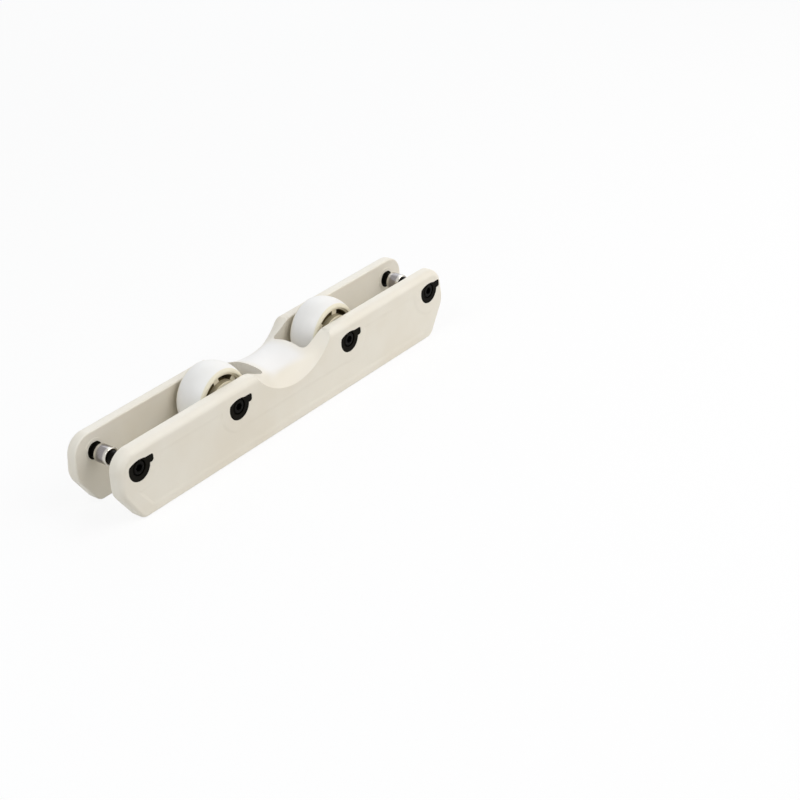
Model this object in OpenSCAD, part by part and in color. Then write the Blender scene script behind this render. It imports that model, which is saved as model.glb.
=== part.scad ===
// Inline skate frame with two small middle wheels, lying wheels up on its boot face.
// X runs along the frame, Y across it, Z from the boot face towards the wheels, in millimetres.
// Axles count from 1 at -X to 4 at +X. Side "a" of a wheel is at -Y, side "b" at +Y.

/* [Axles] */
// Distance between the first and the last axle
wheelbase = 253; // [246:1:264]
// Distance between the two middle axles
middle_spacing = 97; // [92:1:102]
// Height of every axle above the boot face
axle_h = 31.5; // [30.5:0.5:34]
// Diameter of an axle
axle_d = 8; // [7:0.1:8.4]
// Diameter of an axle head
head_d = 9; // [8.8:0.1:9.4]
// Height of an axle head
head_h = 2.9; // [2.4:0.1:3.4]
// Width across flats of the hexagon socket in a head
hex_w = 4; // [3:0.5:5]
// Depth of the hexagon socket
hex_depth = 2; // [1.5:0.1:2.2]
// Diameter of the screw that closes an axle
screw_d = 6; // [5:0.1:6.2]
// Length of the screw below its head
screw_l = 12; // [9:0.5:15]
// Gap between the end of the axle and the head of its screw
screw_gap = 1.5; // [0.5:0.1:2.5]
// Free bore in the axle past the tip of the screw
bore_spare = 2; // [1:0.5:4]

/* [Side plates] */
// Height of the plates above the axles
plate_rise = 11.9; // [11:0.1:13]
// Thickness of one plate
plate_t = 8.6; // [8:0.1:10]
// Reach of the boot face past the outer axles
sole_reach = 1; // [-1:0.5:3]
// Reach of the plates past the outer axles
end_reach = 14.4; // [13.5:0.1:17]
// Radius of the heel, low on each end
heel_r = 14; // [11:0.5:14.5]
// Slope of the ends below the heel, in degrees
end_slope = 55; // [50:1:60]
// Radius of the corners on the boot face
sole_corner_r = 6; // [4:0.25:8]
// Rounding of the outer top edge
top_round = 4.5; // [1:0.25:5]
// Rounding of the outer edge at the heel
heel_round = 3; // [1:0.25:4]
// Rounding of the outer edge at the boot face
sole_round = 2; // [1:0.25:3]
// Rounding of the inner edges
inner_round = 1; // [0.5:0.25:1.25]

/* [Relief on the outer faces] */
// Depth of the sunk panel
relief_d = 1.1; // [0.6:0.1:1.6]
// Width of the sloped step round the panel
step_w = 1.8; // [1:0.1:2.4]
// Radius of the raised lobe round each insert
lobe_r = 13.5; // [12.5:0.1:14.5]
// Height of the raised band along the top edge
top_band = 9; // [7:0.5:11]
// Height of the raised band along the boot face
sole_band = 5; // [4:0.5:7]
// Width of the raised band at the ends
end_band = 7; // [5:0.5:9]
// Depth of the raised middle below the axles
middle_drop = 12.3; // [11:0.1:12.4]
// Radius of the corners of the panel
panel_corner_r = 3; // [2.5:0.25:4]

/* [Grind groove] */
// Radius of the groove along the frame, at the inner faces of the plates
groove_r = 60; // [55:1:70]
// Depth of the groove there, below the top edge
groove_d = 9.9; // [8:0.1:11]
// Radius that blends the groove into the top edge
rim_r = 20; // [10:1:30]
// Radius of the crown that the groove has across the frame
saddle_r = 36; // [30:1:48]
// Radius of the edge that the groove has on the outer faces
scoop_r = 39; // [36:0.5:44]
// Depth of that edge below the top edge
scoop_d = 18.6; // [14:0.1:20]

/* [Bridge between the plates] */
// Radius of the wheel wells
well_r = 32; // [31.6:0.1:33]
// Radius of the corners between a wheel well and the plates
well_corner_r = 4; // [2:0.25:5]
// Gap between an outer axle and the end of the bridge
bridge_back = 18; // [16:0.5:20]
// Length of the windows in the boot face under the middle wheels
window_l = 24; // [20:1:28]
// Height of the blocks that take the boot bolts
block_h = 12; // [10:0.5:12.5]
// Least wall round the hollow under the middle
hollow_wall = 5.5; // [4:0.5:7]
// Wall left beside the hollow at the plates
hollow_side = 1.5; // [1:0.25:3]
// Thickness over the hollow
hollow_roof = 7; // [5:0.5:9]
// Thickness of the rib that parts the hollow
hollow_rib = 3; // [2:0.5:5]

/* [Boot mount] */
// Distance between the two boot bolts
mount_spacing = 165; // [164:0.5:166]
// Width of a bolt slot
slot_w = 6.5; // [6.2:0.1:6.8]
// Length of a bolt slot
slot_l = 8; // [7:0.25:9]
// Width of the recess for a bolt head
recess_w = 12; // [11:0.25:12.5]
// Thickness under a bolt head
seat_t = 6; // [5:0.5:8]

/* [Inserts] */
// Radius of the round part of an insert
insert_r = 7.9; // [7.6:0.1:8.4]
// Height of the flattened top above the axle
flat_h = 5; // [4.6:0.1:5.6]
// Radius of the flattened top
flat_r = 15; // [13:0.5:20]
// Reach of the key from the axle
key_reach = 10.6; // [9.5:0.1:11]
// Height of the key
key_h = 4.8; // [4:0.1:5.4]
// Drop of the key below the flattened top
key_drop = 0.8; // [0.4:0.1:1.2]
// Radius of the corners of the key
key_corner_r = 1.5; // [0.6:0.1:1.8]
// Thickness of the flange
flange_t = 4.2; // [3.8:0.1:5]
// Depth of the flange below the outer face
flange_sink = 0.2; // [0.1:0.1:1.2]
// Diameter of the round shank
shank_d = 10.4; // [10:0.1:12]
// Height of the boss inside the plate
boss_proud = 0.4; // [0.2:0.1:1]
// Radius of the low pad on the inner face round each insert
pad_r = 7; // [6.5:0.1:9]
// Height of that pad, as a share of the height of the boss
pad_share = 0.6; // [0.3:0.1:0.8]

/* [Wheels] */
// Thickness of a tyre at its crown
tyre_t = 4.5; // [3.5:0.25:5.5]
// Width of a tyre
tyre_w = 19.6; // [18.5:0.1:20.5]
// Radius of the crown of a tyre
crown_r = 19; // [17:0.5:24]
// Radius of the shoulders of a tyre
shoulder_r = 2; // [1.5:0.25:2.5]
// Diameter of the core under the tyre
core_d = 33; // [32:0.25:34]
// Width of the core at its rim
rim_w = 18; // [16:0.25:18.5]
// Thickness of the rim
rim_t = 1; // [0.8:0.1:1.4]
// Thickness of the hub round the bearings
hub_t = 1.3; // [1:0.1:1.6]
// Depth of the hub face below the bearing face
hub_sink = 0.5; // [0.3:0.1:1]
// Depth of the spokes below the edge of the rim
spoke_sink = 0.75; // [0.5:0.25:3]
// Number of spokes
spoke_n = 6; // [5:1:8]
// Width of a spoke
spoke_w = 4; // [3:0.25:5]
// Lip left round each window between the spokes
lip = 0.15; // [0.1:0.05:0.3]
// Height of the shoulder between the two bearings
stop_h = 1.4; // [1:0.1:1.8]
// Turn of the second wheel as it stands at rest, in degrees
turn_2 = 44; // [0:1:60]
// Turn of the third wheel as it stands at rest, in degrees
turn_3 = 20; // [0:1:60]

/* [Bearings] */
// Outer diameter of a bearing
bearing_d = 22; // [21.5:0.1:22.5]
// Width of a bearing
bearing_w = 7; // [6.8:0.1:7.4]
// Number of balls
ball_n = 7; // [6:1:8]
// Diameter of a ball
ball_d = 3.97; // [3.8:0.01:4]
// Thickness of the inner race beside its track
inner_wall = 2.05; // [1.9:0.05:2.2]
// Thickness of the outer race beside its track
outer_wall = 1.85; // [1.7:0.05:1.95]
// Ratio of the radius of the tracks to the radius of a ball
track_ratio = 1.05; // [1.03:0.01:1.08]
// Radial thickness of a ball cage
cage_t = 0.9; // [0.7:0.05:1]
// Width of the rails of a ball cage beside its pockets
cage_rail = 0.25; // [0.2:0.05:0.3]
// Thickness of a shield
shield_t = 0.35; // [0.25:0.05:0.4]
// Depth of a shield below the face of the race
shield_sink = 0.45; // [0.35:0.05:0.55]
// Radial depth of the seat of a shield
shield_seat = 0.6; // [0.4:0.05:0.8]
// Gap between a shield and the inner race
shield_gap = 0.3; // [0.2:0.05:0.5]

/* [Spacers] */
// Length of the spacer between the bearings of a wheel
spacer_l = 10; // [9:0.1:11]
// Outer diameter of that spacer
spacer_d = 11.5; // [10:0.1:11.8]
// Chamfer at the ends of a spacer
spacer_chamfer = 0.4; // [0.2:0.05:0.6]
// Length of a loose spacer
loose_l = 9; // [8:0.1:10]
// Outer diameter of a loose spacer
loose_d = 10.5; // [10:0.1:11.5]
// Place of a loose spacer along its axle
loose_rest = 4; // [0:0.1:6]

/* [Clearances] */
// Gap between pieces that sit still on each other
still_fit = 0.03; // [0.01:0.01:0.1]
// Gap between an axle and a loose spacer
loose_fit = 0.1; // [0.05:0.01:0.1]
// Gap between a ball and its tracks
ball_fit = 0.03; // [0.02:0.01:0.06]
// Gap between a ball and its pocket in the cage
pocket_fit = 0.1; // [0.08:0.01:0.15]
// Gap between a bearing and the boss beside it
side_play = 0.1; // [0.05:0.05:0.3]
// Gap between a head and the wall of its recess
head_fit = 0.2; // [0.1:0.05:0.2]

/* [Hidden] */
$fn = 72;
// Facets of the discs that shape a plate
disc_fn = 48;
// Room that a cut takes past the face it opens
past = 1;
// Depth that the bridge reaches into a plate
root = 1;
// Part of an arc that runs past the face where it ends
arc_past = 0.25;
// Steps in the surface of the groove: along it, across its crown and over each plate
groove_steps = 40;
crown_steps = 8;
scoop_steps = 6;

outer_x = wheelbase / 2;
inner_x = middle_spacing / 2;
axle_x = [-outer_x, -inner_x, inner_x, outer_x];
axle_r = axle_d / 2;
plate_h = axle_h + plate_rise;
hub_y = spacer_l / 2 + bearing_w;
boss_y = hub_y + side_play;
inner_y = boss_y + boss_proud;
outer_y = inner_y + plate_t;

// Corners of a plate: arcs tangent to the sloped ends
sole_x = outer_x + sole_reach;
reach_x = outer_x + end_reach;
top_x = reach_x - plate_rise;
heel_x = reach_x - heel_r;
heel_z = ((heel_x - sole_x) * sin(end_slope) + heel_r) / cos(end_slope);
sole_corner_x = sole_x - sole_corner_r * tan(end_slope / 2);

// Groove across the top: centres of its arcs, and where the arc of the groove goes over into its rim
groove_z = plate_h - groove_d + groove_r;
scoop_z = plate_h - scoop_d + scoop_r;
rim_z = plate_h - rim_r;
rim_x = sqrt(pow(groove_r + rim_r, 2) - pow(groove_z - rim_z, 2));
groove_end = rim_x * groove_r / (groove_r + rim_r);
saddle_low = sqrt(pow(saddle_r, 2) - pow(inner_y, 2));
// Share of the fall over a plate in which the slope of the crown runs on
crown_share = inner_y / saddle_low * plate_t / (scoop_d - groove_d);

// Levels of an insert, measured outwards from the inner face of its plate
flange_top = plate_t - flange_sink;
flange_low = flange_top - flange_t;
head_recess = head_h + head_fit;
seat_level = flange_top - head_recess;
seat_y = inner_y + seat_level;
shank_r = shank_d / 2;
pad_h = boss_proud * pad_share;

// Bearings and wheels
bearing_y = spacer_l / 2 + bearing_w / 2;
pitch_d = (axle_d + bearing_d) / 2;
inner_land_d = axle_d + 2 * inner_wall;
outer_land_d = bearing_d - 2 * outer_wall;
ball_r = ball_d / 2;
cage_w = ball_d + 2 * (pocket_fit + cage_rail);
track_r = ball_r * track_ratio;
inner_track = pitch_d / 2 - ball_r - ball_fit + track_r;
outer_track = pitch_d / 2 + ball_r + ball_fit - track_r;
shield_y = bearing_w / 2 - shield_sink - shield_t;
shield_r = outer_land_d / 2 + shield_seat;
hub_bore_r = bearing_d / 2 + still_fit;
hub_r = hub_bore_r + hub_t;
rim_bore_r = core_d / 2 - rim_t;
spoke_y = rim_w / 2 - spoke_sink;

function arc(x, y, r, from, to, n) =
    [for (i = [0:n]) let (a = from + (to - from) * i / n) [x + r * cos(a), y + r * sin(a)]];

// Height of the groove at the inner faces of the plates, with its blend into the top edge
function groove_line(x) =
    abs(x) < groove_end ? groove_z - sqrt(pow(groove_r, 2) - pow(x, 2))
    : abs(x) < rim_x ? rim_z + sqrt(pow(rim_r, 2) - pow(rim_x - abs(x), 2))
    : plate_h;

// Fall of the groove from there to its edge on the outer faces
function scoop_fall(x) =
    abs(x) < scoop_r ? max(0, groove_line(x) - scoop_z + sqrt(pow(scoop_r, 2) - pow(x, 2))) : 0;

function groove_height(x, y) =
    let (t = (abs(y) - inner_y) / plate_t)
    t <= 0 ? groove_line(x) + sqrt(pow(saddle_r, 2) - pow(y, 2)) - saddle_low
    : groove_line(x) - scoop_fall(x) * t * (crown_share + (1 - crown_share) * t);

// Places a shape drawn on a plate: x along it, y up from the boot face, z outwards from its inner face
module on_near_plate() {
    translate([0, -inner_y, 0])
        rotate([90, 0, 0])
            children();
}

module on_far_plate() {
    rotate([0, 0, 180])
        on_near_plate()
            children();
}

module on_both_plates() {
    on_near_plate() children();
    on_far_plate() children();
}

// Turns a shape round Z into one round an axle, with +Z to -Y
module on_axle(i) {
    translate([axle_x[i - 1], 0, axle_h])
        rotate([90, 0, 0])
            children();
}

module on_bearing(i, side) {
    on_axle(i)
        translate([0, 0, side == "a" ? bearing_y : -bearing_y])
            children();
}

// One round corner of a plate, with its inner and outer edges rounded
module plate_corner(r, outer_round) {
    rotate_extrude($fn = disc_fn)
        polygon(concat(
            [[0, 0]],
            arc(r - inner_round, inner_round, inner_round, -90, 0, 3),
            arc(r - outer_round, plate_t - outer_round, outer_round, 0, 90, 5),
            [[0, plate_t]]
        ));
}

module side_plate() {
    hull() {
        for (s = [-1, 1]) {
            translate([s * top_x, axle_h, 0])
                plate_corner(plate_rise, top_round);
            translate([s * heel_x, heel_z, 0])
                plate_corner(heel_r, heel_round);
            translate([s * sole_corner_x, sole_corner_r, 0])
                plate_corner(sole_corner_r, sole_round);
        }
    }
}

module panel_outline(grow) {
    low_x = sole_x - end_band;
    high_x = reach_x - end_band;
    offset(r = panel_corner_r + grow)
        offset(delta = -panel_corner_r)
            polygon([
                [-low_x, sole_band],
                [low_x, sole_band],
                [high_x, heel_z],
                [high_x, plate_h - top_band],
                [-high_x, plate_h - top_band],
                [-high_x, heel_z]
            ]);
}

// The sunk panel of an outer face, cut round the lobes and the raised middle
module relief_cut() {
    skin = 0.01;
    run_out = step_w * past / relief_d;
    floor_z = plate_t - relief_d;
    difference() {
        hull() {
            translate([0, 0, floor_z])
                linear_extrude(skin)
                    panel_outline(-step_w, $fn = 32);
            translate([0, 0, plate_t + past])
                linear_extrude(skin)
                    panel_outline(run_out, $fn = 32);
        }
        for (x = axle_x)
            translate([x, axle_h, floor_z - past])
                cylinder(
                    h = relief_d + 2 * past + skin,
                    r1 = lobe_r + step_w + run_out,
                    r2 = lobe_r - run_out
                );
        translate([-inner_x, 0, 0])
            rotate([90, 0, 90])
                linear_extrude(2 * inner_x)
                    polygon([
                        [axle_h - middle_drop - step_w - run_out, floor_z - past],
                        [axle_h - middle_drop + run_out, plate_t + past + skin],
                        [plate_h, plate_t + past + skin],
                        [plate_h, floor_z - past]
                    ]);
    }
}

// The groove: a crowned saddle between the plates that falls away over them to both outer faces
module groove_cut() {
    side = outer_y + past;
    roof = plate_h + saddle_r - saddle_low + past;
    places = [for (i = [0:groove_steps]) rim_x * (2 * i / groove_steps - 1)];
    rows = concat(
        [for (i = [0:scoop_steps - 1]) -side + (side - inner_y) * i / scoop_steps],
        [for (i = [0:crown_steps]) inner_y * (2 * i / crown_steps - 1)],
        [for (i = [1:scoop_steps]) inner_y + (side - inner_y) * i / scoop_steps]
    );
    n = len(rows);
    m = len(places);
    up = n * m;
    polyhedron(
        points = concat(
            [for (x = places, y = rows) [x, y, groove_height(x, y)]],
            [for (x = places, y = rows) [x, y, roof]]
        ),
        faces = concat(
            [for (i = [0:m - 2], j = [0:n - 2]) let (a = i * n + j) [a, a + n, a + n + 1]],
            [for (i = [0:m - 2], j = [0:n - 2]) let (a = i * n + j) [a, a + n + 1, a + 1]],
            [for (i = [0:m - 2], j = [0:n - 2]) let (a = up + i * n + j) [a, a + 1, a + n + 1]],
            [for (i = [0:m - 2], j = [0:n - 2]) let (a = up + i * n + j) [a, a + n + 1, a + n]],
            [for (i = [0:m - 2]) let (a = i * n) [a, a + up, a + up + n, a + n]],
            [for (i = [0:m - 2]) let (a = i * n + n - 1) [a, a + n, a + n + up, a + up]],
            [for (j = [0:n - 2]) [j, j + 1, j + 1 + up, j + up]],
            [for (j = [0:n - 2]) let (a = (m - 1) * n + j) [a, a + up, a + 1 + up, a + 1]]
        )
    );
}

// The room of a wheel between the plates, with round corners where it meets them
module wheel_well(i) {
    c = well_corner_r;
    r = well_r - c;
    wide = inner_y + root + past;
    corner_y = inner_y + arc_past / 5 - c;
    on_axle(i)
        rotate_extrude($fn = 144)
            polygon(concat(
                [[0, -wide], [r, -wide]],
                arc(r, -corner_y, c, -90, 0, 6),
                arc(r, corner_y, c, 0, 90, 6),
                [[r, wide], [0, wide]]
            ));
}

module bolt_slot(w, l, h) {
    for (s = [-1, 1])
        translate([s * (l - w) / 2, 0, 0])
            cylinder(d = w, h = h);
    translate([-(l - w) / 2, -w / 2, 0])
        cube([l - w, w, h]);
}

// What joins the plates: the middle block, and the blocks that take the boot bolts
module bridge() {
    w = 2 * (inner_y + root);
    end_x = outer_x - bridge_back;
    hollow_x = inner_x - well_r - hollow_wall;
    hollow_y = inner_y - hollow_side;
    hollow_h = plate_h - groove_d - hollow_roof;
    difference() {
        union() {
            translate([-inner_x, -w / 2, 0])
                cube([2 * inner_x, w, plate_h]);
            translate([-end_x, -w / 2, 0])
                cube([2 * end_x, w, block_h]);
        }
        for (i = [1:4])
            wheel_well(i);
        for (x = [-inner_x, inner_x])
            translate([x - window_l / 2, -w / 2 - past, -past])
                cube([window_l, w + 2 * past, block_h]);
        for (x = [-mount_spacing / 2, mount_spacing / 2])
            translate([x, 0, 0]) {
                translate([0, 0, -past])
                    bolt_slot(slot_w, slot_l, block_h + 2 * past);
                translate([0, 0, seat_t])
                    bolt_slot(recess_w, slot_l + recess_w - slot_w, block_h);
            }
        for (s = [0, 1])
            mirror([s, 0, 0])
                translate([hollow_rib / 2, -hollow_y, -past])
                    cube([hollow_x - hollow_rib / 2, 2 * hollow_y, hollow_h + past]);
    }
}

// Outline of an insert: a disc with a flattened top and a key on one side
module insert_outline(grow) {
    key_top = flat_h - key_drop + grow;
    key_low = key_top - key_h - 2 * grow;
    key_end = key_reach + grow;
    intersection() {
        circle(insert_r + grow);
        translate([0, flat_h - flat_r])
            circle(flat_r + grow);
    }
    translate([0, key_low])
        square([key_end - key_corner_r, key_top - key_low]);
    translate([0, key_low + key_corner_r])
        square([key_end, key_top - key_low - 2 * key_corner_r]);
    for (y = [key_low + key_corner_r, key_top - key_corner_r])
        translate([key_end - key_corner_r, y])
            circle(key_corner_r);
}

// Section of the shank of an insert, flattened like its outline so that it goes in from outside
module shank_outline(grow) {
    intersection() {
        circle(shank_r + grow);
        translate([0, flat_h - flat_r])
            circle(flat_r + grow);
    }
}

module insert_pocket() {
    translate([0, 0, flange_low])
        linear_extrude(plate_t - flange_low + past)
            insert_outline(still_fit);
    translate([0, 0, -past])
        linear_extrude(plate_t)
            shank_outline(still_fit);
}

// Low round pads on the inner face of a plate, one round each insert
module pads() {
    for (x = axle_x)
        translate([x, axle_h, -pad_h])
            cylinder(r = pad_r, h = pad_h + root);
}

module chassis() {
    color("ivory")
        difference() {
            union() {
                on_both_plates() {
                    side_plate();
                    pads();
                }
                bridge();
            }
            groove_cut();
            on_both_plates() relief_cut();
            on_both_plates()
                for (x = axle_x)
                    translate([x, axle_h, 0])
                        insert_pocket();
        }
}

module insert() {
    color([0.05, 0.05, 0.05])
        difference() {
            union() {
                translate([0, 0, flange_low])
                    linear_extrude(flange_t)
                        insert_outline(0);
                translate([0, 0, -boss_proud])
                    linear_extrude(flange_top + boss_proud)
                        shank_outline(0);
            }
            translate([0, 0, -boss_proud - past])
                cylinder(r = axle_r + still_fit, h = plate_t + 2 * past);
            translate([0, 0, seat_level])
                cylinder(d = head_d + 2 * head_fit, h = head_recess + past);
        }
}

module head_insert(i) {
    on_near_plate()
        translate([axle_x[i - 1], axle_h, 0])
            insert();
}

module nut_insert(i) {
    on_far_plate()
        translate([-axle_x[i - 1], axle_h, 0])
            insert();
}

// A low round head with a hexagon socket, its seat at z = 0
module socket_head() {
    difference() {
        rotate_extrude()
            polygon(concat(
                [[0, 0], [head_d / 2, 0]],
                arc(head_d / 2 - head_h / 2, head_h / 2, head_h / 2, 0, 90, 6),
                [[0, head_h]]
            ));
        translate([0, 0, head_h - hex_depth])
            cylinder(d = hex_w / cos(30), h = hex_depth + past, $fn = 6);
    }
}

module axle_bolt(i) {
    barrel_l = 2 * seat_y - screw_gap;
    color([0.12, 0.12, 0.12])
        on_axle(i) {
            translate([0, 0, seat_y])
                socket_head();
            difference() {
                translate([0, 0, seat_y - barrel_l])
                    cylinder(r = axle_r, h = barrel_l);
                translate([0, 0, seat_y - barrel_l - past])
                    cylinder(d = screw_d + 2 * still_fit, h = screw_l - screw_gap + bore_spare + past);
            }
        }
}

module axle_screw(i) {
    color([0.12, 0.12, 0.12])
        on_axle(i)
            rotate([180, 0, 0])
                translate([0, 0, seat_y]) {
                    socket_head();
                    translate([0, 0, -screw_l])
                        cylinder(d = screw_d, h = screw_l);
                }
}

module spacer(l, d) {
    bore = axle_r + loose_fit;
    color("silver")
        rotate_extrude()
            polygon([
                [bore, -l / 2],
                [d / 2 - spacer_chamfer, -l / 2],
                [d / 2, spacer_chamfer - l / 2],
                [d / 2, l / 2 - spacer_chamfer],
                [d / 2 - spacer_chamfer, l / 2],
                [bore, l / 2]
            ]);
}

module loose_spacer(i) {
    on_axle(i)
        translate([0, 0, -loose_rest])
            spacer(loose_l, loose_d);
}

module hub_spacer(i) {
    on_axle(i) spacer(spacer_l, spacer_d);
}

// A tyre: a round crown that runs into round shoulders and flat sides
module tyre(i) {
    crown_x = core_d / 2 + tyre_t - crown_r;
    shoulder_y = tyre_w / 2 - shoulder_r;
    shoulder_x = crown_x + sqrt(pow(crown_r - shoulder_r, 2) - pow(shoulder_y, 2));
    turn = atan2(shoulder_y, shoulder_x - crown_x);
    inside = turn * 7 / 8;
    bore = core_d / 2 + still_fit;
    color("white")
        on_axle(i)
            rotate_extrude()
                difference() {
                    polygon(concat(
                        [[0, -tyre_w / 2]],
                        arc(shoulder_x, -shoulder_y, shoulder_r, -90, -turn, 5),
                        arc(crown_x, 0, crown_r, -inside, inside, 14),
                        arc(shoulder_x, shoulder_y, shoulder_r, turn, 90, 5),
                        [[0, tyre_w / 2]]
                    ));
                    translate([-past, -tyre_w])
                        square([bore + past, 2 * tyre_w]);
                }
}

module wheel_core(i) {
    hub_h = hub_y - hub_sink;
    stop = spacer_l / 2;
    stop_r = hub_bore_r - stop_h;
    half = [
        [stop_r, stop],
        [hub_bore_r, stop],
        [hub_bore_r, hub_h],
        [hub_r, hub_h],
        [hub_r, spoke_y],
        [rim_bore_r, spoke_y],
        [rim_bore_r, rim_w / 2],
        [core_d / 2, rim_w / 2]
    ];
    color("linen")
        on_axle(i)
            rotate([0, 0, i == 2 ? turn_2 : turn_3])
                difference() {
                    rotate_extrude()
                        polygon(concat(
                            half,
                            [for (k = [len(half) - 1:-1:0]) [half[k][0], -half[k][1]]]
                        ));
                    spoke_windows();
                }
}

module spoke_windows() {
    difference() {
        cylinder(r = rim_bore_r - lip, h = 2 * (spoke_y + past), center = true);
        cylinder(r = hub_r + lip, h = 2 * (spoke_y + 2 * past), center = true);
        for (k = [0:spoke_n - 1])
            rotate([0, 0, 360 * k / spoke_n])
                translate([0, -spoke_w / 2, -spoke_y - 2 * past])
                    cube([core_d / 2, spoke_w, 2 * (spoke_y + 2 * past)]);
    }
}

module outer_race(i, side) {
    color("gainsboro")
        on_bearing(i, side)
            rotate_extrude()
                difference() {
                    translate([outer_land_d / 2, -bearing_w / 2])
                        square([bearing_d / 2 - outer_land_d / 2, bearing_w]);
                    translate([outer_track, 0])
                        circle(track_r);
                    for (y = [shield_y, -shield_y - bearing_w])
                        translate([outer_land_d / 2 - past, y])
                            square([shield_seat + past + still_fit, bearing_w]);
                }
}

module inner_race(i, side) {
    bore = axle_r + still_fit;
    color("gainsboro")
        on_bearing(i, side)
            rotate_extrude()
                difference() {
                    translate([bore, -bearing_w / 2])
                        square([inner_land_d / 2 - bore, bearing_w]);
                    translate([inner_track, 0])
                        circle(track_r);
                }
}

module on_each_ball() {
    for (k = [0:ball_n - 1])
        rotate([0, 0, 360 * k / ball_n])
            translate([pitch_d / 2, 0, 0])
                children();
}

module balls(i, side) {
    color("silver")
        on_bearing(i, side)
            on_each_ball()
                sphere(ball_r);
}

module ball_cage(i, side) {
    color("darkgray")
        on_bearing(i, side)
            difference() {
                cylinder(d = pitch_d + cage_t, h = cage_w, center = true);
                cylinder(d = pitch_d - cage_t, h = cage_w + past, center = true);
                on_each_ball()
                    rotate([0, 90, 0])
                        cylinder(r = ball_r + pocket_fit, h = cage_t + past, center = true);
            }
}

module shields(i, side) {
    bore = inner_land_d / 2 + shield_gap;
    color("lightgray")
        on_bearing(i, side)
            for (y = [shield_y, -shield_y - shield_t])
                translate([0, 0, y])
                    difference() {
                        cylinder(r = shield_r, h = shield_t);
                        translate([0, 0, -past])
                            cylinder(r = bore, h = shield_t + 2 * past);
                    }
}

chassis();
for (i = [1:4]) {
    head_insert(i);
    nut_insert(i);
    axle_bolt(i);
    axle_screw(i);
}
loose_spacer(1);  // loose_spacer_1
loose_spacer(4);  // loose_spacer_4
for (i = [2:3]) {
    tyre(i);
    wheel_core(i);
    hub_spacer(i);
    for (side = ["a", "b"]) {
        outer_race(i, side);
        inner_race(i, side);
        balls(i, side);
        ball_cage(i, side);
        shields(i, side);
    }
}
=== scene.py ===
# %% [markdown]
# # An inline skate frame, wheels up
# A frame is the long moulded part under the boot that holds the wheels. This one has two small
# wheels in the middle and bare axles with spacers at its ends. The solids come from the CAD
# model, already in place and in metres. Here they get soft edges, finishes, light and a camera.

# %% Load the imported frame
import math

import bpy
import bmesh
from mathutils import Matrix, Vector


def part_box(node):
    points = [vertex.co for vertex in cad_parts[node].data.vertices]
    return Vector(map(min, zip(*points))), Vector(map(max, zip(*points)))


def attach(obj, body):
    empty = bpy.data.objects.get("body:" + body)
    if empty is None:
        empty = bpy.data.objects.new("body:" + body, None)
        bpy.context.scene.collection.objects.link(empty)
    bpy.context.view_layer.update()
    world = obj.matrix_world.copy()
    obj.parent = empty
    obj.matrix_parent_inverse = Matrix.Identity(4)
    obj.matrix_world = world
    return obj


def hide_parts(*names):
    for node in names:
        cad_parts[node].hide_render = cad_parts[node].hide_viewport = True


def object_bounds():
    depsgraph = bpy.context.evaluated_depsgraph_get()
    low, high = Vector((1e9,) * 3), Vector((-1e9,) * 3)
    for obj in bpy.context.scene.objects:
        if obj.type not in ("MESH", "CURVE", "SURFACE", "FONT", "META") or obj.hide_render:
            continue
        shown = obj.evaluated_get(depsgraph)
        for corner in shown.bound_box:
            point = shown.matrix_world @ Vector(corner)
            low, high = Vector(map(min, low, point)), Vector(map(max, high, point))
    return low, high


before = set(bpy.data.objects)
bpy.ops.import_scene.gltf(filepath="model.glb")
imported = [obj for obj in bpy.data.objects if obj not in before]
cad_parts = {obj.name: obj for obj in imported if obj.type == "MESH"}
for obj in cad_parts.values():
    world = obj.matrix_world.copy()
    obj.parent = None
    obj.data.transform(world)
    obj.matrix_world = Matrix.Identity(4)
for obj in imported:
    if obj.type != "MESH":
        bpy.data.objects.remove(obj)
cad_box = [list(corner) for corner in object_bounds()]
MM = 0.001


def in_mm(values):
    return [round(value / MM, 2) for value in values]


print("CAD box, mm:", [in_mm(corner) for corner in cad_box])

# %% [markdown]
# ## Where the axles are
# Four axles cross the frame at one height, and everything that turns is drawn round one of them.
# Their places could be typed in, but then a change of the CAD model would leave the wheels
# behind, so they are measured from the axle bolts.

# %% Measure the axles
AXLES = (1, 2, 3, 4)
WHEELS = (2, 3)
END_AXLES = (1, 4)
ACROSS = Vector((0, 1, 0))


def middle(node):
    low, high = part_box(node)
    return (Vector(low) + Vector(high)) / 2


axle_centre = {}
for i in AXLES:
    bolt = middle(f"axle_bolt_{i}")
    axle_centre[i] = Vector((bolt.x, 0, bolt.z))
print("axles, mm:", {i: in_mm(place) for i, place in axle_centre.items()})

# %% [markdown]
# ## The camera
# The photograph was taken from above one end, with a long lens. A camera can be placed by eye,
# but the four axles and the ends of the plates allow more: they were matched to the picture,
# which gave this place, turn and lens for a square image.

# %% Place the camera
CAMERA_PLACE = (-0.66646465, -0.63521761, 0.50984975)
CAMERA_TURN = (0.76767063, 0.46388133, -0.2070904, -0.39065264)
LENS = 80.5739
SENSOR = 36

camera_data = bpy.data.cameras.new("camera")
camera_data.lens = LENS
camera_data.sensor_width = SENSOR
camera = bpy.data.objects.new("camera", camera_data)
camera.rotation_mode = "QUATERNION"
camera.location = CAMERA_PLACE
camera.rotation_quaternion = CAMERA_TURN
bpy.context.scene.collection.objects.link(camera)
bpy.context.scene.camera = camera
print("camera with a lens of", LENS, "mm")

# %% [markdown]
# ## Nodes for the finishes
# A finish is a small graph of shader nodes. Each node could be made and linked by hand, but a few
# helpers keep the graphs short: one adds a node and plugs in its values or links, some do sums,
# and one starts a group, which is a graph with named inputs and outputs that several finishes
# share.

# %% Helpers that add and plug nodes
def plug(tree, socket, value):
    if isinstance(value, bpy.types.NodeSocket):
        tree.links.new(value, socket)
    else:
        socket.default_value = value


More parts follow.
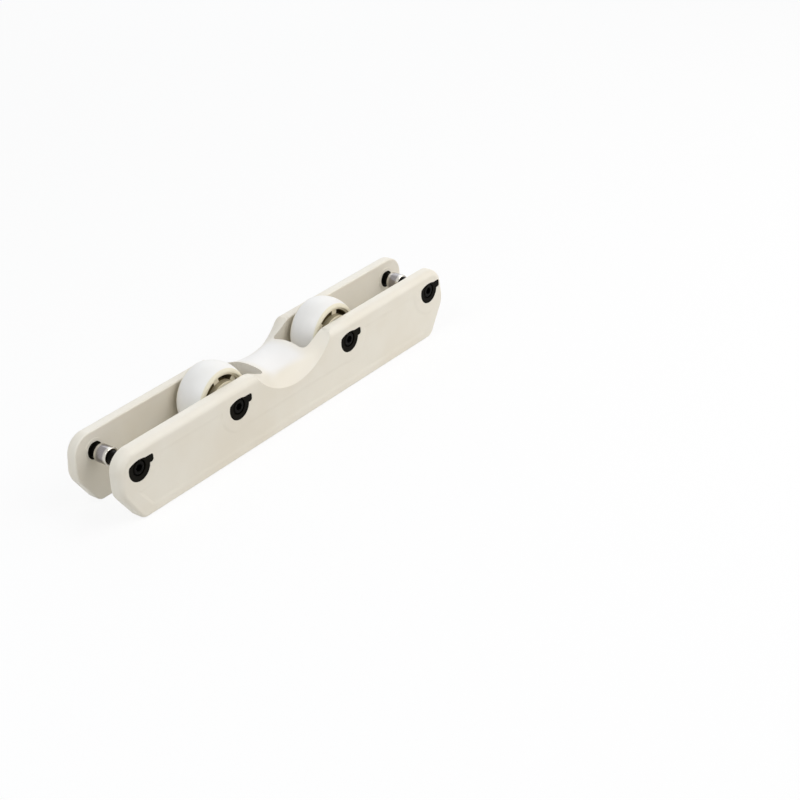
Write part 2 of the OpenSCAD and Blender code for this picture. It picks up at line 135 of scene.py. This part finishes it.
def add_node(tree, kind, plugs, **settings):
    """Adds a shader node. Plugs are its inputs by name or number, settings are its switches."""
    made = tree.nodes.new("ShaderNode" + kind)
    for key, value in settings.items():
        setattr(made, key, value)
    for key, value in plugs.items():
        plug(tree, made.inputs[key], value)
    return made


def reckon(tree, operation, a, b=0.0):
    return add_node(tree, "Math", {0: a, 1: b}, operation=operation).outputs[0]


def times(tree, a, b):
    return reckon(tree, "MULTIPLY", a, b)


def plus(tree, a, b):
    return reckon(tree, "ADD", a, b)


def spread(tree, value, span, to_low=0.0, to_high=1.0):
    """Stretches a value from a span to another, with soft ends."""
    plugs = {
        "Value": value, "From Min": span[0], "From Max": span[1],
        "To Min": to_low, "To Max": to_high,
    }
    return add_node(tree, "MapRange", plugs, interpolation_type="SMOOTHSTEP").outputs[0]


def blend(tree, share, a, b):
    """Mixes two colours by a share."""
    return add_node(tree, "Mix", {0: share, 6: a, 7: b}, data_type="RGBA").outputs[2]


def noise(tree, place, scale, detail=2.0, roughness=0.5):
    plugs = {"Vector": place, "Scale": scale, "Detail": detail, "Roughness": roughness}
    return add_node(tree, "TexNoise", plugs).outputs[0]


# %% A helper that starts a group
SOCKET = {"value": "NodeSocketFloat", "vector": "NodeSocketVector"}


def start_group(name, inputs, outputs):
    """Starts a group and gives it with its inputs to read and its outputs to plug."""
    group = bpy.data.node_groups.new(name, "ShaderNodeTree")
    for label, kind in inputs:
        group.interface.new_socket(name=label, in_out="INPUT", socket_type=SOCKET[kind])
    for label, kind in outputs:
        group.interface.new_socket(name=label, in_out="OUTPUT", socket_type=SOCKET[kind])
    given = group.nodes.new("NodeGroupInput").outputs
    result = group.nodes.new("NodeGroupOutput").inputs
    return group, given, result


# %% [markdown]
# ## Mould grain
# The steel of a mould is eroded by sparks, and its fine grain stays on the plastic, over a longer
# and softer wave. A picture of real grain could be laid on, but noise at two scales has no seams
# and stays sharp at any distance. The same noise, with broad patches, makes the gloss uneven.

# %% Build the mould grain
PEEL_SCALE = 0.22
PATCH_SCALE = 0.05
FINE_SHARE = 0.35
PEEL_SHARE = 0.65
GLOSS_SPAN = (0.38, 0.62)

grain_group, given, result = start_group(
    "mould grain", [("Place", "vector"), ("Grain", "value")],
    [("Height", "value"), ("Gloss", "value")],
)
peel_scale = times(grain_group, given["Grain"], PEEL_SCALE)
patch_scale = times(grain_group, given["Grain"], PATCH_SCALE)
fine = noise(grain_group, given["Place"], given["Grain"], detail=3.0)
peel = noise(grain_group, given["Place"], peel_scale, detail=1.0)
patches = noise(grain_group, given["Place"], patch_scale, detail=2.0)
fine_part = times(grain_group, fine, FINE_SHARE)
peel_part = times(grain_group, peel, PEEL_SHARE)
plug(grain_group, result["Height"], plus(grain_group, fine_part, peel_part))
uneven = times(grain_group, plus(grain_group, patches, fine), 0.5)
plug(grain_group, result["Gloss"], spread(grain_group, uneven, GLOSS_SPAN))
print("mould grain with", len(grain_group.nodes), "nodes")

# %% [markdown]
# ## Melt clouds
# Melted plastic never mixes to one even tone, and handling adds to that. One soft noise,
# stretched between a light and a deep tone, is enough, because the clouds on a real moulding are
# faint.

# %% Build the melt clouds
CLOUD_SPAN = (0.3, 0.7)

cloud_group, given, result = start_group(
    "melt clouds", [("Place", "vector"), ("Patch", "value")], [("Tone", "value")]
)
clouds = noise(cloud_group, given["Place"], given["Patch"], detail=3.0, roughness=0.55)
plug(cloud_group, result["Tone"], spread(cloud_group, clouds, CLOUD_SPAN))
print("melt clouds with", len(cloud_group.nodes), "nodes")

# %% [markdown]
# ## Hairline marks
# Use leaves a few hairlines, not a net of them. They could be drawn one by one. It is quicker to
# stretch a noise in two directions, keep only the thin line where it crosses its middle value,
# and let a second noise choose the places where such lines show.

# %% Build the hairline marks
LEANS = ((0.35, 7.0, 0.9), (-0.5, 0.8, 6.0))
LINE_SPAN = (0.0, 0.012)
PLACE_SCALE = 0.4
PLACE_SPAN = (0.55, 0.72)

mark_group, given, result = start_group(
    "hairline marks", [("Place", "vector"), ("Length", "value")], [("Marks", "value")]
)
lines = []
for lean, wide, tall in LEANS:
    plugs = {"Vector": given["Place"], "Rotation": (lean,) * 3, "Scale": (1.0, wide, tall)}
    turned = add_node(mark_group, "Mapping", plugs).outputs[0]
    ridge = noise(mark_group, turned, given["Length"], detail=2.0)
    away = reckon(mark_group, "ABSOLUTE", reckon(mark_group, "SUBTRACT", ridge, 0.5))
    lines.append(spread(mark_group, away, LINE_SPAN, 1.0, 0.0))
place_scale = times(mark_group, given["Length"], PLACE_SCALE)
chance = noise(mark_group, given["Place"], place_scale, detail=1.0)
where = spread(mark_group, chance, PLACE_SPAN)
plug(mark_group, result["Marks"], times(mark_group, reckon(mark_group, "MAXIMUM", *lines), where))
print("hairline marks with", len(mark_group.nodes), "nodes")

# %% [markdown]
# ## Lathe lines
# A turned part keeps the fine rings that the tool leaves as it moves along the axle, which here
# is Y. Rings could be modelled, but they are far too small, so a noise that changes along Y alone
# gives their height and tone, and a little haze breaks them up.

# %% Build the lathe lines
HAZE_SCALE = 260.0

lathe_group, given, result = start_group(
    "lathe lines", [("Place", "vector"), ("Lines", "value")],
    [("Height", "value"), ("Tone", "value")],
)
along = add_node(lathe_group, "SeparateXYZ", {"Vector": given["Place"]}).outputs["Y"]
plugs = {"W": times(lathe_group, along, given["Lines"]), "Scale": 1.0, "Detail": 2.0}
cut = add_node(lathe_group, "TexNoise", plugs, noise_dimensions="1D").outputs[0]
haze = noise(lathe_group, given["Place"], HAZE_SCALE, detail=3.0)
plug(lathe_group, result["Height"], cut)
plug(lathe_group, result["Tone"], times(lathe_group, plus(lathe_group, cut, haze), 0.5))
print("lathe lines with", len(lathe_group.nodes), "nodes")

# %% [markdown]
# ## Two recipes
# All pieces are moulded, cast or turned, so two recipes cover them, which is less work than one
# graph for each. Plastic and rubber take a light and a deep tone, clouds between them, grain for
# the bump and the gloss, and a few hairlines. Metal takes the lathe lines for its tone, gloss and
# bump. Patterns read Object coordinates, so they stay with a piece when it moves.

# %% Helpers for the recipes
def colour(red, green, blue):
    """A colour as a screen shows it, 0 to 255, turned into the light values of Blender."""
    def light(value):
        value /= 255
        return value / 12.92 if value <= 0.04045 else ((value + 0.055) / 1.055) ** 2.4
    return (light(red), light(green), light(blue), 1.0)


def use_group(tree, group, **plugs):
    made = tree.nodes.new("ShaderNodeGroup")
    made.node_tree = group
    for key, value in plugs.items():
        plug(tree, made.inputs[key], value)
    return made.outputs


def start_finish(name):
    """Starts a material and gives its graph, the inputs of its shader and the place of a point."""
    finish = bpy.data.materials.new(name)
    finish.use_nodes = True
    tree = finish.node_tree
    where = tree.nodes.new("ShaderNodeTexCoord").outputs["Object"]
    place = add_node(tree, "Mapping", {"Vector": where}).outputs[0]
    return finish, tree, tree.nodes["Principled BSDF"].inputs, place


# %% The recipe for plastic and rubber
HAND_MARKS = 60.0
GRAIN_DEPTH = 0.1 * MM


def plastic(name, light, deep, grain, patch, gloss, bump, marks=0.25, specular=0.5, zone=None):
    """Moulded plastic or cast rubber. A zone is a second tone and a function that places it."""
    finish, tree, shader, place = start_finish(name)
    surface = use_group(tree, grain_group, Place=place, Grain=grain)
    tone = use_group(tree, cloud_group, Place=place, Patch=patch)["Tone"]
    scratches = use_group(tree, mark_group, Place=place, Length=HAND_MARKS)["Marks"]
    faint_marks = times(tree, scratches, marks)
    body = blend(tree, faint_marks, blend(tree, tone, deep, light), deep)
    if zone:
        tint, where = zone
        body = blend(tree, where(tree, place), body, tint)
    plug(tree, shader["Base Color"], body)
    plug(tree, shader["Roughness"], spread(tree, surface["Gloss"], (0.0, 1.0), *gloss))
    height = reckon(tree, "SUBTRACT", surface["Height"], faint_marks)
    plugs = {"Height": height, "Strength": bump, "Distance": GRAIN_DEPTH}
    plug(tree, shader["Normal"], add_node(tree, "Bump", plugs).outputs[0])
    shader["Specular IOR Level"].default_value = specular
    return finish


# %% The recipe for metal
TOOL_MARKS = 160.0
MARK_HAZE = 0.1
RING_DEPTH = 0.02 * MM
TONE_SPAN = (0.3, 0.7)


def metal(name, light, deep, gloss, lines, bump, zone=None):
    """Turned or ground metal, with a zone like that of plastic."""
    finish, tree, shader, place = start_finish(name)
    turned = use_group(tree, lathe_group, Place=place, Lines=lines)
    scratches = use_group(tree, mark_group, Place=place, Length=TOOL_MARKS)["Marks"]
    body = blend(tree, spread(tree, turned["Tone"], TONE_SPAN), deep, light)
    if zone:
        tint, where = zone
        body = blend(tree, where(tree, place), body, tint)
    plug(tree, shader["Base Color"], body)
    shader["Metallic"].default_value = 1.0
    rough = spread(tree, turned["Tone"], TONE_SPAN, *gloss)
    plug(tree, shader["Roughness"], plus(tree, rough, times(tree, scratches, MARK_HAZE)))
    plugs = {"Height": turned["Height"], "Strength": bump, "Distance": RING_DEPTH}
    plug(tree, shader["Normal"], add_node(tree, "Bump", plugs).outputs[0])
    return finish


# %% [markdown]
# ## Second tones
# Four pieces have a second tone. The crown of the groove gets a painted highlight, paler and whiter
# than the rest. The sides of a tyre keep the cream of fresh urethane, while the tread goes white.
# The windows and the hub of a core get painted shade in dark brown, and the waist of a loose spacer
# gets a painted dark reflection between its bright ends. Paint on the mesh would need a map for
# each piece, so each zone is a soft mask made from the distance to a plane or an axle.

# %% A helper that measures from a plane
def off_plane(tree, place, axis, level=0.0):
    """How far a point lies from the plane at this level of an axis."""
    along = add_node(tree, "SeparateXYZ", {"Vector": place}).outputs[axis]
    return reckon(tree, "ABSOLUTE", reckon(tree, "SUBTRACT", along, level))


# %% Place the tones of the groove and the tyres
CROWN_FADE = (10 * MM, 20 * MM)
CROWN_RISE = (31.5 * MM, 34 * MM)
CROWN_STRENGTH = 0.8
TREAD_FADE = (8 * MM, 9 * MM)


# Painted highlight: the crown of the groove is tinted paler and whiter than the rest.
def crown_painted_highlight(tree, place):
    along = spread(tree, off_plane(tree, place, "X"), CROWN_FADE, CROWN_STRENGTH, 0.0)
    across = spread(tree, off_plane(tree, place, "Y"), CROWN_FADE, 1.0, 0.0)
    up = spread(tree, off_plane(tree, place, "Z"), CROWN_RISE)
    return times(tree, times(tree, along, across), up)


def tyre_sides(tree, place):
    return spread(tree, off_plane(tree, place, "Y"), TREAD_FADE)


# %% Place the tones of the cores and the spacers
WINDOW_FADE = (7.9 * MM, 8.2 * MM)
HUB_FADE = (12.4 * MM, 12.8 * MM)
HUB_STRENGTH = 0.75
HUB_END = (11.0 * MM, 11.3 * MM)
WAIST_MIDDLE = 4.0 * MM
WAIST_FADE = (1.8 * MM, 3.4 * MM)


# Painted shade: the windows and the outside of the hub are tinted dark brown.
def core_painted_shade(tree, place):
    """Both wheels stand equally far from the middle, so one distance along X serves them."""
    deep = spread(tree, off_plane(tree, place, "Y"), WINDOW_FADE, 1.0, 0.0)
    aside = reckon(tree, "SUBTRACT", off_plane(tree, place, "X"), axle_centre[3].x)
    above = off_plane(tree, place, "Z", axle_centre[3].z)
    square = plus(tree, times(tree, aside, aside), times(tree, above, above))
    hub = spread(tree, reckon(tree, "POWER", square, 0.5), HUB_FADE, HUB_STRENGTH, 0.0)
    hub_end = spread(tree, off_plane(tree, place, "Y"), HUB_END, 1.0, 0.0)
    return reckon(tree, "MAXIMUM", deep, times(tree, hub, hub_end))


# Painted reflection: a dark band across the spacers at this level along Y, between bright ends.
def spacer_painted_reflection(tree, place):
    return spread(tree, off_plane(tree, place, "Y", WAIST_MIDDLE), WAIST_FADE, 1.0, 0.0)


# %% [markdown]
# ## The finishes
# The frame is ivory plastic with a soft gloss, the inserts are black and dull, the tyres are
# white urethane and the cores cream plastic. Axles are blackened, spacers bright, and the
# bearings ground steel. The colours were judged against the photograph under the light below,
# because a colour picked straight from a photograph already holds its shade.

# %% Mix the plastics and the rubber
finishes = {
    # The frame's zone is a painted highlight along the crown of the groove.
    "frame_plastic": plastic(
        "ivory moulding", colour(240, 235, 223), colour(235, 228, 213), grain=900.0, patch=22.0,
        gloss=(0.36, 0.5), bump=0.16, zone=(colour(245, 244, 243), crown_painted_highlight),
    ),
    "insert_plastic": plastic(
        "black moulding", colour(19, 17, 11), colour(13, 11, 7), grain=1400.0, patch=60.0,
        gloss=(0.6, 0.75), bump=0.2, specular=0.06,
    ),
    "tyre_urethane": plastic(
        "white urethane", colour(246, 245, 242), colour(242, 240, 236), grain=700.0, patch=45.0,
        gloss=(0.44, 0.6), bump=0.12, zone=(colour(236, 229, 206), tyre_sides),
    ),
    # The core's zone is painted shade in its windows and round its hub.
    "core_plastic": plastic(
        "cream moulding", colour(236, 229, 207), colour(228, 219, 194), grain=1100.0, patch=50.0,
        gloss=(0.34, 0.46), bump=0.16, zone=(colour(112, 98, 62), core_painted_shade),
    ),
}
print("plastics:", [finish.name for finish in finishes.values()])

# %% Mix the metals
metals = {
    "axle_steel": metal(
        "blackened steel", colour(19, 18, 15), colour(12, 11, 9),
        gloss=(0.42, 0.56), lines=2600.0, bump=0.25,
    ),
    # The spacers' zone is a painted dark reflection round their waist.
    "spacer_metal": metal(
        "turned bright metal", colour(212, 208, 200), colour(186, 182, 175),
        gloss=(0.12, 0.24), lines=5200.0, bump=0.35, zone=(colour(140, 136, 136), spacer_painted_reflection),
    ),
    "bearing_steel": metal(
        "ground bearing steel", colour(214, 215, 218), colour(180, 181, 185),
        gloss=(0.14, 0.28), lines=6400.0, bump=0.2,
    ),
    "cage_steel": metal(
        "pressed cage steel", colour(196, 190, 178), colour(160, 154, 142),
        gloss=(0.28, 0.42), lines=900.0, bump=0.2,
    ),
    "shield_steel": metal(
        "zinc shield steel", colour(190, 192, 196), colour(156, 158, 163),
        gloss=(0.24, 0.4), lines=1500.0, bump=0.2,
    ),
}
finishes.update(metals)
print("metals:", [finish.name for finish in metals.values()])

# %% [markdown]
# ## Welding a copy of a solid
# A CAD node arrives as loose triangles. Edges can only be rounded on one closed skin, so a copy
# is welded along its shared corners, and triangles that lie in one plane are joined into one
# face. A Bevel modifier on the node would round every triangle's edge it finds sharp. Here each
# set of edges is chosen and gets its own width. The node itself is never touched: the copy
# replaces it.

# %% Helpers that weld a copy and round its edges
WELD = 0.002 * MM
FLAT = math.radians(0.6)


def welded_copy(node):
    skin = bmesh.new()
    skin.from_mesh(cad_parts[node].data)
    bmesh.ops.remove_doubles(skin, verts=skin.verts, dist=WELD)
    bmesh.ops.dissolve_limit(
        skin, angle_limit=FLAT, verts=skin.verts, edges=skin.edges, delimit={"NORMAL"}
    )
    for edge in skin.edges:
        edge.smooth = True
    return skin


def bent_edges(skin, least, most=180, chosen=lambda place: True):
    """Edges bent by so many degrees, below 0 for hollow ones, whose middle passes a test."""
    found = []
    for edge in skin.edges:
        if edge.is_manifold and least < math.degrees(edge.calc_face_angle_signed(0)) < most:
            if chosen((edge.verts[0].co + edge.verts[1].co) / 2):
                found.append(edge)
    return found


def round_edges(skin, edges, width, segments):
    """Rounds the edges, then clears away slivers where roundings meet."""
    bmesh.ops.bevel(
        skin, geom=edges, offset=width, offset_type="OFFSET", affect="EDGES", segments=segments,
        profile=0.5, material=-1, clamp_overlap=True, loop_slide=True,
    )
    bmesh.ops.remove_doubles(skin, verts=skin.verts, dist=WELD)
    bmesh.ops.dissolve_degenerate(skin, edges=skin.edges, dist=WELD)


# %% Helpers that make a piece and settle it on a body
CREASE = 38


def make_piece(skin, name):
    """Makes an object of a skin, smooth except at marked edges and where it bends past a crease."""
    for face in skin.faces:
        face.smooth = True
    for edge in bent_edges(skin, CREASE) + bent_edges(skin, -180, -CREASE):
        edge.smooth = False
    mesh = bpy.data.meshes.new(name)
    skin.to_mesh(mesh)
    skin.free()
    piece = bpy.data.objects.new(name, mesh)
    bpy.context.scene.collection.objects.link(piece)
    even = piece.modifiers.new("even light", "WEIGHTED_NORMAL")
    even.keep_sharp = True
    return piece


def settle(piece, body, slot, *nodes):
    piece.data.materials.append(finishes[slot])
    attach(piece, body)
    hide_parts(*nodes)
    print(piece.name, "rides on", body, "with", len(piece.data.polygons), "faces")


# %% [markdown]
# ## The moulded frame
# Both plates, the block with the groove and the blocks for the boot bolts are one moulding, so
# one welded copy of its solid is the start. On the outer faces, a shallow panel lies round the
# axles. Its depth hardly shows in the photograph, so the panel is scaled towards the face until
# its step is a faint line. The edges of the step are marked, because smooth shading would smear
# the light along it.

# %% Raise the sunk panels
PANEL_DEPTH = 1.1 * MM
SHOWN_DEPTH = 0.22 * MM
STEP_WIDTH = 1.8 * MM
TILT_MARGIN = math.radians(2)
NEAR = 0.05 * MM
GROOVE_LOW = 22 * MM
GROOVE_HALF = 33 * MM

frame_skin = welded_copy("chassis")
outer_face = cad_box[1][1]
panel_floor = outer_face - PANEL_DEPTH
step_tilt = math.atan2(PANEL_DEPTH, STEP_WIDTH)


def at_level(place, level):
    """Whether a place is this far from the middle plane, to either side."""
    return abs(abs(place.y) - level) < NEAR


def at_groove(place):
    """Whether a place is beside the grind groove, above the panels."""
    return place.z > GROOVE_LOW and abs(place.x) < GROOVE_HALF


def is_step(face):
    """Whether a face is part of the slope between a panel and the outer face round it."""
    tilt = math.acos(min(1, abs(face.normal.y)))
    sunk = min(abs(corner.co.y) for corner in face.verts) > panel_floor - NEAR
    sloped = abs(tilt - step_tilt) < TILT_MARGIN
    return sunk and sloped and not at_groove(face.calc_center_median())


steps = [face for face in frame_skin.faces if is_step(face)]
sunk_corners = {corner for corner in frame_skin.verts if at_level(corner.co, panel_floor)}
for step in steps:
    sunk_corners.update(step.verts)
    for edge in step.edges:
        edge.smooth = False
for side in (-1, 1):
    bmesh.ops.scale(
        frame_skin, verts=[corner for corner in sunk_corners if corner.co.y * side > 0],
        vec=(1, SHOWN_DEPTH / PANEL_DEPTH, 1),
        space=Matrix.Translation(-ACROSS * side * outer_face),
    )
print("raised", len(sunk_corners), "corners of", len(steps), "faces round the panels")

# %% [markdown]
# ## The edges of the moulded frame
# A mould leaves no knife edges. The rims of the wheel pockets and both ends of the groove are
# rounded by about a millimetre and a half, the line where the groove meets the outer faces by a
# little less, and the pockets of the inserts by a few tenths. One width for all edges would be
# simpler, but it would blur the pockets or leave the groove too sharp, so each group has its own
# row in a table.

# %% Round the moulded frame
INNER_FACE = 13 * MM
RIM_LOW = 34 * MM
RIM_HALF = 34 * MM
END_SPAN = (28 * MM, 38 * MM)
END_LOW = 37 * MM


def at_pocket_rim(place):
    between = abs(place.y) < INNER_FACE
    return between and place.z > RIM_LOW and abs(place.x) < RIM_HALF


def at_groove_end(place):
    at_end = END_SPAN[0] < abs(place.x) < END_SPAN[1]
    return at_end and abs(place.y) > INNER_FACE and place.z > END_LOW


def at_outer_face(place):
    return at_level(place, outer_face)


def at_groove_edge(place):
    return at_outer_face(place) and at_groove(place)


# Each row: what is rounded, the least and most bend in degrees, the width, the segments, the place
ROUNDINGS = (
    ("pocket rims", 60, 180, 1.6 * MM, 4, at_pocket_rim),
    ("groove ends", 10, 60, 1.5 * MM, 3, at_groove_end),
    ("groove edges", 20, 80, 1.2 * MM, 3, at_groove_edge),
    ("insert pockets", 60, 180, 0.25 * MM, 2, at_outer_face),
)
for label, least, most, width, segments, chosen in ROUNDINGS:
    edges = bent_edges(frame_skin, least, most, chosen)
    round_edges(frame_skin, edges, width, segments)
    print("rounded", len(edges), "edges of the", label)
settle(make_piece(frame_skin, "moulded_frame"), "frame", "frame_plastic", "chassis")

# %% [markdown]
# ## The inserts, bolts and screws
# Black inserts with a small key sit in both plates and take the axles. The axle bolts go in from
# one side and small screws close them from the other. They could be drawn anew, but their solids
# already have every recess and socket, so a narrow rounding on each welded copy is enough.

# %% Round the inserts, bolts and screws
SHARP = 50
SMALL_ROUND = 0.22 * MM
SMALL_SEGMENTS = 3
SMALL_PARTS = (
    ("head_insert", "insert_plastic"),
    ("nut_insert", "insert_plastic"),
    ("axle_bolt", "axle_steel"),
    ("axle_screw", "axle_steel"),
)
for stem, slot in SMALL_PARTS:
    for i in AXLES:
        node = f"{stem}_{i}"
        skin = welded_copy(node)
        round_edges(skin, bent_edges(skin, SHARP), SMALL_ROUND, SMALL_SEGMENTS)
        settle(make_piece(skin, f"{stem}_{i}_rounded"), "frame", slot, node)

# %% [markdown]
# ## The wheels
# A small wheel has a hard core with six spokes and a tyre of white urethane cast round it. The
# core is a rounded copy of its solid. A copy would serve for the tyre too, but its wide curve
# would show the flats of the CAD triangles. So the tyre is turned as on a lathe: points are
# pulled along lines and swung along arcs to draw its section, and the section makes one full
# turn.

# %% Helpers that draw a section and turn it
AROUND = 160


def first_point(skin, centre, radius, across):
    place = centre + Vector((0, across, radius))
    return bmesh.ops.create_vert(skin, co=place)["vert"][0]


def line_to(skin, point, centre, radius, across):
    pulled = bmesh.ops.extrude_vert_indiv(skin, verts=[point])["verts"][0]
    pulled.co = centre + Vector((0, across, radius))
    return pulled


def arc_on(skin, point, centre, radius, across, angle, steps):
    """Swings the point about a centre in the plane of the section, and gives the arc's end."""
    swung = bmesh.ops.spin(
        skin, geom=[point], cent=centre + Vector((0, across, radius)), axis=(1, 0, 0),
        angle=math.radians(angle), steps=steps,
    )
    return [item for item in swung["geom_last"] if isinstance(item, bmesh.types.BMVert)][0]


def turn_section(skin, centre):
    """Turns a section once round, from half a step off the top, so that no corner stands proud."""
    half_step = Matrix.Rotation(math.pi / AROUND, 3, ACROSS)
    bmesh.ops.rotate(skin, verts=skin.verts, cent=centre, matrix=half_step)
    bmesh.ops.spin(
        skin, geom=skin.verts[:] + skin.edges[:], cent=centre, axis=ACROSS, angle=math.tau,
        steps=AROUND, use_merge=True,
    )
    bmesh.ops.remove_doubles(skin, verts=skin.verts, dist=WELD)
    bmesh.ops.recalc_face_normals(skin, faces=skin.faces)


# %% Draw the section of a tyre
TYRE_BORE = 16.53 * MM
CROWN_CENTRE = 2.0 * MM
SHOULDER_OUT = 17.105 * MM
SHOULDER_SIDE = 7.8 * MM
SHOULDER_ROUND = 2.0 * MM
SHOULDER_STEPS = 14
CROWN_STEPS = 24

bore_drop = SHOULDER_OUT - TYRE_BORE
tyre_side = SHOULDER_SIDE + math.sqrt(SHOULDER_ROUND ** 2 - bore_drop ** 2)
crown_lean = math.degrees(math.atan2(SHOULDER_SIDE, SHOULDER_OUT - CROWN_CENTRE))
bore_tuck = math.degrees(math.atan2(bore_drop, tyre_side - SHOULDER_SIDE))
shoulder_turn = 90 + bore_tuck - crown_lean


def cast_tyre(centre):
    skin = bmesh.new()
    shoulder = (shoulder_turn, SHOULDER_STEPS)
    start = first_point(skin, centre, TYRE_BORE, tyre_side)
    point = arc_on(skin, start, centre, SHOULDER_OUT, SHOULDER_SIDE, *shoulder)
    point = arc_on(skin, point, centre, CROWN_CENTRE, 0, 2 * crown_lean, CROWN_STEPS)
    point = arc_on(skin, point, centre, SHOULDER_OUT, -SHOULDER_SIDE, *shoulder)
    skin.edges.new((point, start))
    turn_section(skin, centre)
    return skin


print("a tyre is", round(2 * tyre_side / MM, 2), "mm wide at its bore")

# %% Make the wheels
CORE_ROUND = 0.25 * MM

for i in WHEELS:
    tyre = make_piece(cast_tyre(axle_centre[i]), f"tyre_{i}_cast")
    settle(tyre, f"wheel_{i}", "tyre_urethane", f"tyre_{i}")
    node = f"wheel_core_{i}"
    skin = welded_copy(node)
    round_edges(skin, bent_edges(skin, SHARP), CORE_ROUND, SMALL_SEGMENTS)
    settle(make_piece(skin, f"{node}_rounded"), f"wheel_{i}", "core_plastic", node)

# %% [markdown]
# ## The loose spacers
# The end axles carry no wheel, only a bright turned sleeve that slides on them. It could be a
# tube with a Bevel modifier. Turning a wall with a chamfer at each of its four corners gives the
# same shape as the lathe does, with cleaner corners for the light to catch.

# %% Turn the spacers
SPACER_BORE = 4.1 * MM
CHAMFER = 0.4 * MM
BURR = CHAMFER / 2
CORNER_BEND = 30
CORNER_ROUND = 0.1 * MM
CORNER_SEGMENTS = 2

for i in END_AXLES:
    node = f"loose_spacer_{i}"
    low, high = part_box(node)
    inner, outer = SPACER_BORE, (high[2] - low[2]) / 2
    corners = (
        (inner + BURR, low[1]), (outer - CHAMFER, low[1]), (outer, low[1] + CHAMFER),
        (outer, high[1] - CHAMFER), (outer - CHAMFER, high[1]), (inner + BURR, high[1]),
        (inner, high[1] - BURR), (inner, low[1] + BURR),
    )
    skin = bmesh.new()
    start = point = first_point(skin, axle_centre[i], *corners[0])
    for radius, across in corners[1:]:
        point = line_to(skin, point, axle_centre[i], radius, across)
    skin.edges.new((point, start))
    turn_section(skin, axle_centre[i])
    round_edges(skin, bent_edges(skin, CORNER_BEND), CORNER_ROUND, CORNER_SEGMENTS)
    settle(make_piece(skin, f"{node}_turned"), f"spacer_{i}", "spacer_metal", node)

# %% [markdown]
# ## Inside the wheels
# Each wheel runs on two ball bearings with a spacer between them, almost hidden in the hub. New
# meshes would hardly show, and the solids are already right, so they stay and only get a finish.

# %% Finish the bearings
INSIDE = {
    "hub_spacer": "spacer_metal", "outer_race": "bearing_steel", "inner_race": "bearing_steel",
    "balls": "bearing_steel", "ball_cage": "cage_steel", "shields": "shield_steel",
}
finished = 0
for name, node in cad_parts.items():
    slot = INSIDE.get(name.rsplit("_", 1)[0])
    if slot:
        for holder in node.material_slots:
            holder.link = "OBJECT"
            holder.material = finishes[slot]
        finished += 1
print("finished", finished, "pieces inside the wheels")

# %% [markdown]
# ## The floor
# The photograph has a plain white ground. A floor bright enough to look white would light the
# frame too much from below. So the camera and reflections see it almost white, by way of the
# Light Path node, while the light that it passes on is that of pale paper. A share of its own
# shading is kept, so that the frame still casts a soft shadow.

# %% Lay the floor
FLOOR_HALF = 6
FLOOR_DROP = 0.1 * MM
PAPER_SEEN = (0.98, 0.98, 0.98, 1)
PAPER_BOUNCE = (0.76, 0.75, 0.72, 1)
WHITE = (1, 1, 1, 1)
SHADE_KEPT = 0.14


def seen_directly(tree):
    """1 for rays from the camera and for reflections, 0 for light that the surface passes on."""
    path = tree.nodes.new("ShaderNodeLightPath").outputs
    seen = reckon(tree, "MAXIMUM", path["Is Camera Ray"], path["Is Glossy Ray"])
    return reckon(tree, "MAXIMUM", seen, path["Is Transmission Ray"])


floor_skin = bmesh.new()
bmesh.ops.create_grid(floor_skin, x_segments=1, y_segments=1, size=FLOOR_HALF)
bmesh.ops.translate(floor_skin, verts=floor_skin.verts, vec=(0, 0, -FLOOR_DROP))
floor = make_piece(floor_skin, "floor")
paper = bpy.data.materials.new("white paper")
paper.use_nodes = True
tree = paper.node_tree
tree.nodes.remove(tree.nodes["Principled BSDF"])
tone = blend(tree, seen_directly(tree), PAPER_BOUNCE, PAPER_SEEN)
matt = add_node(tree, "BsdfDiffuse", {"Color": tone}).outputs[0]
bright = add_node(tree, "Emission", {"Color": WHITE, "Strength": 1.0}).outputs[0]
share = times(tree, seen_directly(tree), 1 - SHADE_KEPT)
mixed = add_node(tree, "MixShader", {0: share, 1: matt, 2: bright}).outputs[0]
plug(tree, tree.nodes["Material Output"].inputs["Surface"], mixed)
floor.data.materials.append(paper)
print("floor of", 2 * FLOOR_HALF, "m")

# %% [markdown]
# ## The light
# The light in the photograph is very soft and comes from all round, a little warm in front and
# cool behind. A bright world alone would flatten the frame, so it gives only part of the light,
# and four wide lamps do the rest: the key from the right and above, a low one in front for the
# near plate, one from the left for the upper edges and one from behind for the far plate.

# %% Set the room
ROOM_LIGHT = 0.38

world = bpy.data.worlds.new("studio")
world.use_nodes = True
bpy.context.scene.world = world
tree = world.node_tree
level = spread(tree, seen_directly(tree), (0.0, 1.0), ROOM_LIGHT, 1.0)
plug(tree, tree.nodes["Background"].inputs["Color"], WHITE)
plug(tree, tree.nodes["Background"].inputs["Strength"], level)
bpy.context.scene.view_settings.view_transform = "Standard"
print("room light at", ROOM_LIGHT)

# %% Hang the lamps
AIM = Vector((0, 0, 0.02))
# Each row: name, place, size in metres, watts, tint
LAMPS = (
    ("key", (0.35, -0.65, 0.85), 0.8, 4.6, (1.0, 0.98, 0.97)),
    ("front", (0.9, -0.6, 0.35), 0.5, 1.9, (1.0, 0.96, 0.9)),
    ("left", (-0.8, -0.05, 0.9), 0.6, 4.4, (0.9, 0.945, 1.0)),
    ("back", (0.8, 0.75, 0.65), 0.9, 2.6, (0.88, 0.93, 1.0)),
)
for name, place, size, watts, tint in LAMPS:
    light = bpy.data.lights.new(name, "AREA")
    light.size = size
    light.energy = watts
    light.color = tint
    lamp = bpy.data.objects.new(name, light)
    lamp.location = place
    lamp.rotation_mode = "QUATERNION"
    lamp.rotation_quaternion = (AIM - Vector(place)).to_track_quat("-Z", "Y")
    bpy.context.scene.collection.objects.link(lamp)
print("lamps:", [row[0] for row in LAMPS])
